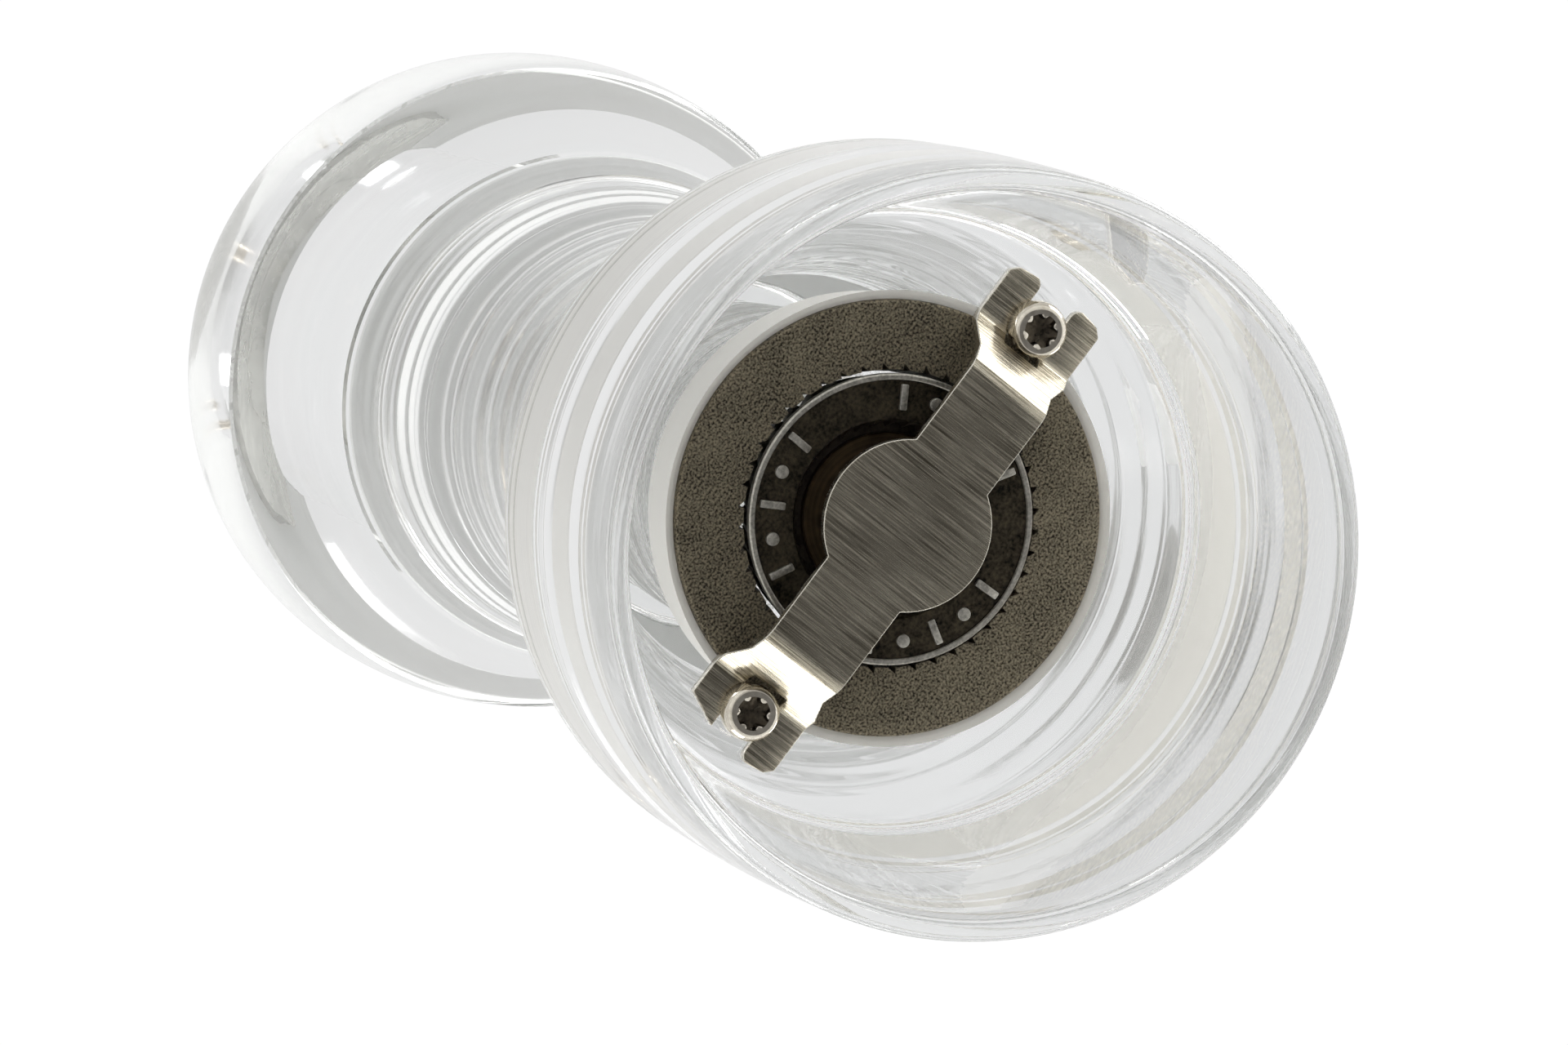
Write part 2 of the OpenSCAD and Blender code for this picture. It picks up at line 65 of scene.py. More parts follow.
SMOOTH_BELOW = math.radians(32)
# Pieces that touch keep a film of air between them: two faces in one plane render black
AIR_FILM = 0.02

Point = tuple[float, float]
Rule = Callable[[float, float, float], tuple[float, float, float]]
log = logging.getLogger("pepper_mill")


# ---- Meshes ----


def arc(centre: Point, radius: float, start: float, end: float, steps: int = 6) -> list[Point]:
    """Points on a round stretch of a profile.

    Args:
        centre: Radius and height of the arc's centre.
        radius: Radius of the arc.
        start: First angle in degrees, 0 pointing outwards and 90 up.
        end: Last angle in degrees.
        steps: Number of straight pieces.

    Returns:
        The points, both ends included.
    """
    angles = [math.radians(start + (end - start) * i / steps) for i in range(steps + 1)]
    return [(centre[0] + radius * math.cos(a), centre[1] + radius * math.sin(a)) for a in angles]


def run(shape: Callable[[float], float], low: float, high: float, step: float) -> list[Point]:
    """Points along a profile whose radius is a function of its height.

    Args:
        shape: Radius at a height.
        low: Height of the first point.
        high: Height of the last point, which may be the lower one.
        step: Longest distance between two heights.

    Returns:
        The points, both ends included.
    """
    count = max(1, math.ceil(abs(high - low) / step))
    heights = [low + (high - low) * i / count for i in range(count + 1)]
    return [(shape(z), z) for z in heights]


def spun(profile: Sequence[Point], steps: int = 96, closed: bool = True) -> bmesh.types.BMesh:
    """Spins a profile once round the mill's axis.

    Args:
        profile: Radius and height of each point, in order.
        steps: Number of faces round the axis.
        closed: Whether the last point joins the first one.

    Returns:
        The turned mesh, in millimetres.
    """
    bm = bmesh.new()
    verts = [bm.verts.new((r, 0.0, z)) for r, z in profile]
    pairs = list(zip(verts, verts[1:]))
    if closed:
        pairs.append((verts[-1], verts[0]))
    edges = [bm.edges.new(pair) for pair in pairs]
    bmesh.ops.spin(
        bm, geom=verts + edges, cent=ORIGIN, axis=AXIS, dvec=ORIGIN,
        angle=math.tau, steps=steps, use_merge=True, use_duplicate=False,
    )
    bmesh.ops.remove_doubles(bm, verts=bm.verts, dist=0.0005)
    bmesh.ops.recalc_face_normals(bm, faces=bm.faces)
    return bm


def reshape(bm: bmesh.types.BMesh, rule: Rule) -> None:
    """Moves every vertex by a rule on its radius, angle and height.

    Args:
        bm: The mesh.
        rule: Takes and returns radius, angle in radians and height.
    """
    for vert in bm.verts:
        radius = math.hypot(vert.co.x, vert.co.y)
        angle = math.atan2(vert.co.y, vert.co.x) % math.tau
        r, a, z = rule(radius, angle, vert.co.z)
        vert.co = (r * math.cos(a), r * math.sin(a), z)


def added(bm: bmesh.types.BMesh, other: bmesh.types.BMesh, place: Matrix | None = None) -> None:
    """Joins another mesh to this one and frees it.

    Args:
        bm: The mesh that grows.
        other: The mesh that is added.
        place: Where it goes, or None to leave it where it is.
    """
    if place is not None:
        bmesh.ops.transform(other, matrix=place, verts=other.verts)
    carrier = bpy.data.meshes.new("carrier")
    other.to_mesh(carrier)
    other.free()
    bm.from_mesh(carrier)
    bpy.data.meshes.remove(carrier)


def paint(bm: bmesh.types.BMesh, rule: Callable[[float, float], int]) -> None:
    """Gives every face the material that a rule picks from its middle's radius and height."""
    for face in bm.faces:
        centre = face.calc_center_median()
        face.material_index = rule(math.hypot(centre.x, centre.y), centre.z)


def soften(bm: bmesh.types.BMesh, width: float, above: float = 32, segments: int = 2) -> None:
    """Rounds the sharp edges of a mesh, as deburring does.

    Args:
        bm: The mesh.
        width: Width of the rounding in millimetres.
        above: Edges that turn more than this many degrees are rounded.
        segments: Faces across each rounding.
    """
    limit = math.radians(above)
    sharp = [e for e in bm.edges if e.is_manifold and e.calc_face_angle(0) > limit]
    bmesh.ops.bevel(
        bm, geom=sharp, offset=width, offset_type="OFFSET", segments=segments,
        profile=0.5, affect="EDGES", clamp_overlap=True, material=-1,
    )


def topped(bm: bmesh.types.BMesh, top: float, beyond: float = 0.0) -> None:
    """Brings the top face of a mesh an air film below the acrylic that it touches.

    Args:
        bm: The mesh.
        top: Height of the acrylic's face.
        beyond: Only vertices at this radius or more are moved.
    """
    limit = top - AIR_FILM
    reshape(bm, lambda r, a, z: (r, a, min(z, limit) if r >= beyond else z))


def from_cad(node: str) -> bmesh.types.BMesh:
    """A merged copy of a node's own mesh, its flat faces whole, in millimetres."""
    bm = bmesh.new()
    bm.from_mesh(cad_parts[node].data)
    bmesh.ops.transform(bm, matrix=Matrix.Scale(1 / MM, 4), verts=bm.verts)
    bmesh.ops.remove_doubles(bm, verts=bm.verts, dist=0.002)
    bmesh.ops.dissolve_limit(
        bm, angle_limit=math.radians(0.5), use_dissolve_boundaries=False,
        verts=bm.verts, edges=bm.edges, delimit={"NORMAL"},
    )
    bmesh.ops.recalc_face_normals(bm, faces=bm.faces)
    return bm


def finished(
    name: str,
    bm: bmesh.types.BMesh,
    materials: Sequence[bpy.types.Material],
    body: str | None,
    node: str,
) -> bpy.types.Object:
    """node: The node that it stands for, which is hidden.

    Returns:
        The new object.
    """
    bmesh.ops.transform(bm, matrix=Matrix.Scale(MM, 4), verts=bm.verts)
    for face in bm.faces:
        face.smooth = True
    for edge in bm.edges:
        edge.smooth = edge.is_manifold and edge.calc_face_angle(0) < SMOOTH_BELOW
    mesh = bpy.data.meshes.new(name)
    bm.to_mesh(mesh)
    bm.free()
    for material in materials:
        mesh.materials.append(material)
    piece = bpy.data.objects.new(name, mesh)
    bpy.context.scene.collection.objects.link(piece)
    if body is not None:
        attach(piece, body)
    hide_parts(node)
    log.info("%s: %d faces for %s", name, len(mesh.polygons), node)
    return piece


# ---- Finishes ----


def linear(code: str) -> tuple[float, float, float, float]:
    """The linear colour of an sRGB hex code such as "A0B1C2"."""
    parts = [int(code[i : i + 2], 16) / 255 for i in (0, 2, 4)]
    r, g, b = (p / 12.92 if p <= 0.04045 else ((p + 0.055) / 1.055) ** 2.4 for p in parts)
    return r, g, b, 1.0


def per_mm(size: float) -> float:
    """The texture scale, in cycles a metre, of a pattern of that many millimetres."""
    return 1 / (size * MM)


def add_node(
    tree: bpy.types.NodeTree, kind: str, settings: dict | None = None, **inputs: object
) -> bpy.types.Node:
    """Adds a node to a tree.

    Args:
        tree: The node tree.
        kind: The node's type.
        settings: Properties of the node.
        **inputs: Sockets to link, or values to set, by input name with _ for a space. A name such
            as i1 is the input with that number.

    Returns:
        The node.
    """
    node = tree.nodes.new(kind)
    for key, value in (settings or {}).items():
        setattr(node, key, value)
    for key, value in inputs.items():
        numbered = key[0] == "i" and key[1:].isdigit()
        socket = node.inputs[int(key[1:]) if numbered else key.replace("_", " ")]
        if isinstance(value, bpy.types.NodeSocket):
            tree.links.new(value, socket)
        else:
            socket.default_value = value
    return node


class Grain(Enum):
    """How a pattern lies on a piece."""

    EVEN = "the same in all directions"
    ACROSS = "lines along Y, as brushing across the bracket leaves"
    TURNED = "rings round the mill's axis, as a lathe leaves"


def pattern_place(tree: bpy.types.NodeTree, grain: Grain) -> bpy.types.NodeSocket:
    """The coordinates that a pattern reads on a piece.

    Args:
        tree: The material's node tree.
        grain: How the pattern lies.

    Returns:
        A vector socket in metres.
    """
    place = add_node(tree, "ShaderNodeTexCoord").outputs["Object"]
    if grain is Grain.ACROSS:
        return add_node(tree, "ShaderNodeMapping", Vector=place, Scale=(1, 0.02, 1)).outputs[0]
    if grain is Grain.TURNED:
        parts = add_node(tree, "ShaderNodeSeparateXYZ", Vector=place)
        flat = add_node(tree, "ShaderNodeCombineXYZ", X=parts.outputs["X"], Y=parts.outputs["Y"])
        radius = add_node(tree, "ShaderNodeVectorMath", {"operation": "LENGTH"}, i0=flat.outputs[0])
        return add_node(
            tree, "ShaderNodeCombineXYZ", X=radius.outputs["Value"], Z=parts.outputs["Z"]
        ).outputs[0]
    return place


def new_tree(name: str) -> tuple[bpy.types.Material, bpy.types.NodeTree]:
    """A material with an empty node tree."""
    material = bpy.data.materials.new(name)
    material.use_nodes = True
    material.node_tree.nodes.clear()
    return material, material.node_tree


def noise(
    tree: bpy.types.NodeTree, place: bpy.types.NodeSocket, size: float, detail: float = 3
) -> bpy.types.NodeSocket:
    """A noise of that size in millimetres, from 0 to 1."""
    return add_node(
        tree, "ShaderNodeTexNoise", Vector=place, Scale=per_mm(size), Detail=detail
    ).outputs["Fac"]


def spread(
    tree: bpy.types.NodeTree,
    value: bpy.types.NodeSocket,
    low: float,
    high: float,
    middle: float = 0.2,
) -> bpy.types.NodeSocket:
    """Stretches the middle of a noise, that much each way from a half, over a range of numbers."""
    return add_node(
        tree, "ShaderNodeMapRange", Value=value, From_Min=0.5 - middle, From_Max=0.5 + middle,
        To_Min=low, To_Max=high,
    ).outputs[0]


@dataclass(frozen=True)
class Finish:
    """An opaque finish with two tones, a fine grain and larger stains.

    Attributes:
        name: Real material and process.
        dark: Darker tone, as an sRGB code.
        light: Lighter tone.
        metallic: 1 for bare metal and 0 for plastic, rubber and oxide.
        rough: Lowest and highest roughness.
        grain: How the grain lies.
        grain_mm: Size of the grain.
        relief_mm: Depth of the grain.
        stain_mm: Size of the larger patches of tone.
        contrast: Share of the grain in the tone, the rest coming from the patches.
        middle: How far from a half the noise reaches full tone, less being crisper.
    """

    name: str
    dark: str
    light: str
    metallic: float
    rough: tuple[float, float]
    grain: Grain
    grain_mm: float
    relief_mm: float
    stain_mm: float = 4.0
    contrast: float = 0.7
    middle: float = 0.2

    def material(self) -> bpy.types.Material:
        """Builds the finish's material."""
        material, tree = new_tree(self.name)
        grain = noise(tree, pattern_place(tree, self.grain), self.grain_mm, 4)
        stain = noise(tree, pattern_place(tree, Grain.EVEN), self.stain_mm)
        tone = add_node(
            tree, "ShaderNodeMix", {"data_type": "FLOAT"}, i0=self.contrast, i2=stain, i3=grain
        ).outputs[0]
        colour = add_node(
            tree, "ShaderNodeMix", {"data_type": "RGBA"},
            i0=spread(tree, tone, 0, 1, self.middle), i6=linear(self.dark), i7=linear(self.light),
        ).outputs[2]
        relief = add_node(
            tree, "ShaderNodeBump", Height=grain, Distance=self.relief_mm * MM, Strength=1.0
        ).outputs[0]
        shader = add_node(
            tree, "ShaderNodeBsdfPrincipled", Base_Color=colour, Metallic=self.metallic,
            Roughness=spread(tree, tone, *self.rough), Normal=relief,
        )
        add_node(tree, "ShaderNodeOutputMaterial", Surface=shader.outputs[0])
        return material


@dataclass(frozen=True)
class Acrylic:
    """Clear cast acrylic, with the marks that its tool or polish left.

    Attributes:
        name: Real material and process.
        tint: Colour of the light that passes it.
        rough: Roughness of the surface.
        ring_mm: Distance between tool marks.
        relief_mm: Depth of the tool marks.
        clear: Share of the light that passes, the rest being scattered back.
    """

    name: str
    tint: str
    rough: float
    ring_mm: float
    relief_mm: float
    clear: float = 1.0

    def material(self) -> bpy.types.Material:
        """Builds the finish's material."""
        material, tree = new_tree(self.name)
        rings = noise(tree, pattern_place(tree, Grain.TURNED), self.ring_mm, 2)
        relief = add_node(
            tree, "ShaderNodeBump", Height=rings, Distance=self.relief_mm * MM, Strength=1.0
        ).outputs[0]
        shader = add_node(
            tree, "ShaderNodeBsdfPrincipled", Base_Color=linear(self.tint), Roughness=self.rough,
            IOR=1.49, Transmission_Weight=self.clear, Normal=relief,
        )
        add_node(tree, "ShaderNodeOutputMaterial", Surface=shader.outputs[0])
        return material


# Cast acrylic, buffed: the refractive index of 1.49 gives thin dark and bright edge lines
POLISHED = Acrylic("cast_acrylic_polished", "FAFBFB", 0.0, 2.2, 0.004)
# The same acrylic where a boring tool left its rings unpolished: bright smeared streaks
BORED = Acrylic("cast_acrylic_bored", "FAFAFA", 0.08, 1.1, 0.02)
# Chamfer cut with a dull tool: milky, scatters light back
FROSTED = Acrylic("cast_acrylic_frosted", "FBF8F0", 0.5, 0.4, 0.02, 0.25)
# Pressed and sintered iron powder: pores of about 0.1 mm, drawn at 0.18, matt and brownish grey
SINTERED = Finish(
    "sintered_steel_pressed", "211C15", "A89D86", 0.7, (0.46, 0.7), Grain.EVEN,
    0.18, 0.03, 3.0, 0.85, 0.13,
)
# The burr's face is the same powder, burnished dark by pepper and its oil
BURNISHED = Finish(
    "sintered_steel_burnished", "12100B", "595041", 0.8, (0.34, 0.6), Grain.EVEN,
    0.26, 0.03, 1.6, 0.6, 0.15,
)
# Edges and raised marks are rubbed bright
WORN = Finish(
    "sintered_steel_worn_bright", "8F8B82", "DCD8CE", 0.8, (0.3, 0.45), Grain.EVEN,
    0.2, 0.01, 1.0,
)
# Old pepper oil bakes to a brown film in the burr's recess
OILED = Finish(
    "sintered_steel_oil_stained", "1F1A14", "5A5044", 0.6, (0.35, 0.6), Grain.EVEN,
    0.3, 0.02, 1.4, 0.4,
)
# Stainless strip brushed across its length: lines are drawn at 0.12 mm, coarser than the real grit
BRUSHED = Finish(
    "stainless_strip_brushed", "575041", "DDD5C3", 1.0, (0.2, 0.32), Grain.ACROSS,
    0.12, 0.004, 5.0, 0.8, 0.2,
)
# The strip's sheared edges and bends are smoother than its faces; their brighter colour is partly
# their own finish and partly a painted highlight along the edges
SHEARED_WITH_HIGHLIGHT = Finish(
    "stainless_strip_sheared_painted_highlight", "C2BDB2", "F0ECE2", 1.0, (0.2, 0.32), Grain.EVEN,
    0.3, 0.004, 2.0, 0.4,
)
# Nickel plate is warm and bright, with the dullness of barrel plating
PLATED = Finish(
    "nickel_plated_steel", "C4BCAE", "EFE8DB", 1.0, (0.05, 0.11), Grain.EVEN,
    0.35, 0.002, 1.5, 0.3,
)
# Grime in the screws' recesses, with painted shade: the recess floor is coloured dark where shade
# falls in it
GRIME_AND_PAINTED_SHADE = Finish(
    "nickel_plate_grime_and_painted_shade", "1C1813", "6E6455", 0.8, (0.22, 0.4), Grain.EVEN,
    0.3, 0.01, 0.8, 0.5,
)
# Drawn steel bar, zinc free, with fine lengthwise marks
DRAWN = Finish(
    "drawn_steel_bar", "A9A8A4", "DCDBD6", 1.0, (0.2, 0.34), Grain.EVEN,
    0.5, 0.003, 6.0, 0.4,
)
# Patented spring wire keeps a thin blue-grey oxide
WIRE = Finish(
    "patented_spring_wire", "6E7072", "B4B6B8", 1.0, (0.26, 0.4), Grain.EVEN,
    0.3, 0.003, 2.0, 0.5,
)
# Phosphated spring steel, nearly black
CLIPPED = Finish(
    "phosphated_spring_steel", "26272A", "55575B", 0.8, (0.35, 0.5), Grain.EVEN,
    0.25, 0.004, 1.2, 0.5,
)
# Bearing bronze that pepper oil has darkened to brown
BRONZE = Finish(
    "bearing_bronze_oil_stained", "2E251A", "6E5A42", 0.8, (0.35, 0.55), Grain.TURNED,
    0.2, 0.004, 1.6, 0.5,
)
# Turned free-cutting brass
BRASS = Finish(
    "free_cutting_brass_turned", "B08D45", "E6C67A", 1.0, (0.2, 0.34), Grain.TURNED,
    0.14, 0.004, 3.0, 0.6,
)
# Turned and polished stainless knob, with fine facing rings of 0.12 mm on its top
TURNED = Finish(
    "stainless_turned_polished", "B3B3B0", "EDEDEA", 1.0, (0.12, 0.22), Grain.TURNED,
    0.12, 0.003, 6.0, 0.7,
)
# White nylon, moulded: waxy, and so pale that it lights up the acrylic round it
NYLON = Finish(
    "nylon_moulded_white", "F5F5F2", "FCFCFA", 0.0, (0.38, 0.52), Grain.EVEN,
    0.6, 0.01, 6.0, 0.4,
)
# Nitrile rubber, moulded: matt black with a trace of bloom
RUBBER = Finish(
    "nitrile_rubber_moulded", "0C0C0C", "242424", 0.0, (0.5, 0.7), Grain.EVEN,
    0.3, 0.01, 2.0, 0.5,
)


# ---- Sub-assemblies ----


def ripple(z: float, depth: float) -> float:
    """Unevenness that hand-fed turning leaves on a radius, three wavelengths of 2 to 7 mm."""
    waves = ((2.3, 0.3), (3.7, 0.9), (6.9, 1.0))
    return depth * sum(size * math.sin(math.tau * z / length + 2 * size) for length, size in waves)


@dataclass
class ClearBody:
    """Foot, waist, pepper chamber and spigot: one turned piece of clear acrylic.

    The holes of the bracket's screws are left out, so their shanks stand in solid acrylic.
    """

    height: float = 121.0
    foot_h: float = 33.5
    foot_edge_r: float = 25.5
    foot_bulge: float = 0.25
    waist_r: float = 16.0
    waist_z: float = 82.0
    head_edge: Point = (26.6, 140.2)
    chamber_r: float = 12.6
    shoulder_z: float = 40.5
    seat_r: float = 16.0
    chamfer: float = 0.7
    floor_r: float = 22.6
    floor_z: float = 27.0
    recess_r: float = 25.7
    rim_fillet: float = 0.55
    spigot_r: float = 14.6
    groove_depth: float = 0.25
    groove_w: float = 0.5
    bore_ripple: float = 0.05
    wall_ripple: float = 0.02
    screw_r: float = 17.4
    steps: int = 180
    high: Vector = field(default_factory=lambda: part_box("mill_body")[1] / MM)

    def cove(self, z: float) -> float:
        """Radius of the waist's outside, and of the head's cove above it, at a height."""
        if z < self.waist_z:
            t = (self.waist_z - z) / (self.waist_z - self.foot_h)
            return self.waist_r + (self.foot_edge_r - self.waist_r) * t * t
        t = (z - self.waist_z) / (self.head_edge[1] - self.waist_z)
        return self.waist_r + (self.head_edge[0] - self.waist_r) * t * t

    def foot(self, z: float) -> float:
        """Radius of the foot's slightly bulged outside at a height."""
        swell = math.sin(math.pi * z / self.foot_h)
        return self.high.x - self.foot_bulge + self.foot_bulge * swell

    def outside(self) -> list[Point]:
        """Profile from the recess edge round the rim and up to the joint."""
        fillet = self.rim_fillet
        profile = arc((self.recess_r + fillet, fillet), fillet, 180, 270, 6)
        profile += arc((self.foot(0) - fillet, fillet), fillet, -90, 0, 6)
        bottom = fillet
        for groove in (self.foot_h - 4.4, self.foot_h - 2.6):
            inner = self.foot(groove) - self.groove_depth
            profile += run(self.foot, bottom + 0.4, groove, 2.0)
            profile += [(inner, groove + 0.1), (inner, groove + self.groove_w - 0.1)]
            bottom = groove + self.groove_w - 0.4
        profile += run(self.foot, bottom + 0.4, self.foot_h - 1.1, 1.0)
        edge = self.foot(self.foot_h - 1.0)
        profile += arc((edge - 0.5, self.foot_h - 1.0), 0.5, 0, 70, 4)
        profile += [(self.foot_edge_r + 0.6, self.foot_h - 0.4)]
        wall = lambda z: self.cove(z) + ripple(z, self.wall_ripple)
        profile += run(wall, self.foot_h, self.height - 0.2, 0.8)
        return profile + [(self.cove(self.height) - 0.2, self.height)]

    def inside(self) -> list[Point]:
        """Profile from the joint over the spigot, down the chamber and out to the recess."""
        bore = lambda z: self.chamber_r + ripple(z, self.bore_ripple)
        profile = [(self.spigot_r, self.height), (self.spigot_r, self.high.z - 0.4)]
        profile += arc((self.spigot_r - 0.4, self.high.z - 0.4), 0.4, 10, 90, 4)
        profile += [(self.chamber_r + 0.2, self.high.z), (self.chamber_r, self.high.z - 0.2)]
        profile += run(bore, self.high.z - 0.8, self.shoulder_z + 0.4, 0.6)
        profile += [(self.chamber_r, self.shoulder_z), (self.seat_r, self.shoulder_z)]
        profile += [(self.seat_r, self.floor_z + self.chamfer)]
        profile += [(self.seat_r + self.chamfer, self.floor_z)]
        floor = self.floor_r - 0.6
        profile += arc((floor, self.floor_z - 0.6), 0.6, 90, 5, 5)
        wall = lambda z: self.recess_r + (self.floor_r - self.recess_r) * z / (self.floor_z - 0.6)
        return profile + run(wall, self.floor_z - 1.4, self.rim_fillet + 0.4, 1.6)

    def finish_of(self, r: float, z: float) -> int:
        """Which finish a face has: 0 polished, 1 bored, 2 frosted."""
        in_seat = r < self.seat_r + self.chamfer and z < self.shoulder_z + 0.1
        if in_seat and z > self.floor_z + 0.05 and r > self.chamber_r:
            return 2
        return 1 if r < self.chamber_r + 0.3 else 0

    def build(self) -> None:
        """Makes the body."""
        bm = spun(self.outside() + self.inside(), self.steps)
        paint(bm, self.finish_of)
        finished(
            "body_acrylic", bm, [POLISHED.material(), BORED.material(), FROSTED.material()],
            "mill_body", "mill_body",
        )


@dataclass
class PanScrews:
    """A pair of pan-head screws with a six-lobe recess."""

    name: str
    node: str
    body: str
    centres: tuple[Point, Point]
    length: float
    head_d: float = 4.3
    head_h: float = 1.6
    shank_r: float = 1.1
    recess_r: float = 1.24
    lobe: float = 0.2
    recess_depth: float = 0.95
    pitch: float = 0.8
    thread_depth: float = 0.2
    steps: int = 60

    def shank(self, r: float, a: float, z: float) -> tuple[float, float, float]:
        """Cuts the thread and the recess's lobes."""
        if r <= self.recess_r + 0.001 and z < -self.head_h + self.recess_depth + 0.001:
            return r * (1 + self.lobe * math.cos(6 * a)), a, z
        fade = min(1.0, max(0.0, (z - 0.3) / 0.4))
        if abs(r - self.shank_r) < 0.001 and fade > 0:
            phase = (z / self.pitch - a / math.tau) % 1.0
            return r - self.thread_depth * fade * min(1.0, abs(2 * phase - 1) * 1.5), a, z
        return r, a, z

    def one(self) -> bmesh.types.BMesh:
        """One screw, its head below height 0 and its shank above."""
        crown_r = self.recess_r * (1 + self.lobe) + 0.06
        outer = self.head_d / 2
        top = -self.head_h
        floor = top + self.recess_depth
        profile = [(0.0, floor + 0.12), (self.recess_r * 0.86, floor), (self.recess_r, floor - 0.12)]
        profile += [(self.recess_r, top + 0.1), (self.recess_r + 0.001, top + 0.02), (crown_r, top)]
        rise = self.head_h - 0.45
        for i in range(1, 9):
            t = math.radians(90 * i / 8)
            profile.append((crown_r + (outer - crown_r) * math.sin(t), -0.45 - rise * math.cos(t)))
        profile += [(outer, -0.12), (outer - 0.12, 0.0), (self.shank_r, 0.0)]
        profile += run(lambda z: self.shank_r, 0.1, self.length - self.shank_r, 0.1)
        profile += [(0.2, self.length - 0.03), (0.0, self.length)]
        bm = spun(profile, self.steps, closed=False)
        reshape(bm, self.shank)
        return bm

    def build(self) -> None:
        """Makes both screws at their centres, each turned a little differently."""
        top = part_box(self.node)[0].z / MM + self.head_h
        bm = bmesh.new()
        for turn, (x, y) in zip((8, 31), self.centres):
            place = Matrix.Translation((x, y, top)) @ Matrix.Rotation(math.radians(turn), 4, "Z")
            added(bm, self.one(), place)
        base = top - self.head_h
        sunk = self.recess_r * (1 + self.lobe) - 0.02
        for face in bm.faces:
            middle = face.calc_center_median()
            off = min(math.hypot(middle.x - x, middle.y - y) for x, y in self.centres)
            in_recess = base + 0.12 < middle.z < base + self.recess_depth + 0.3
            # Recess faces take the second finish: grime plus painted shade that darkens the recess
            face.material_index = int(off < sunk and in_recess)
        finished(self.name, bm, [PLATED.material(), GRIME_AND_PAINTED_SHADE.material()], self.body, self.node)


